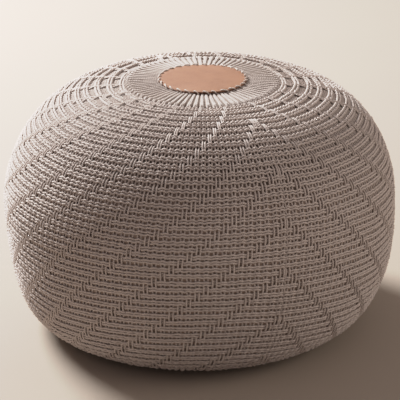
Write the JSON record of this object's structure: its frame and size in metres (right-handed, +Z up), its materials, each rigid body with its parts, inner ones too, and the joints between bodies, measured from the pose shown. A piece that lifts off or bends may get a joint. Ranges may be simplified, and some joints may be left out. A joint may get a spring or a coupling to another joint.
{
  "type": "knitted pouf",
  "caption": "Round floor pouf with a filled cover of knitted cord and a leather disc sewn on its crown, to sit on or rest the feet on.",
  "frame": {"origin": "centre of the flat base, on the surface that the pouf stands on", "axes": "+Z up through the leather disc; -Y is the front, as pictured"},
  "size_m": [0.6004, 0.6, 0.3875],
  "materials": {
    "knit_cord": "matt cotton cord, taupe",
    "disc_leather": "smooth matt leather, tan"
  },
  "bodies": {
    "root": {"knit_cover": "knit_cord", "leather_disc": "disc_leather"}
  },
  "joints": []
}
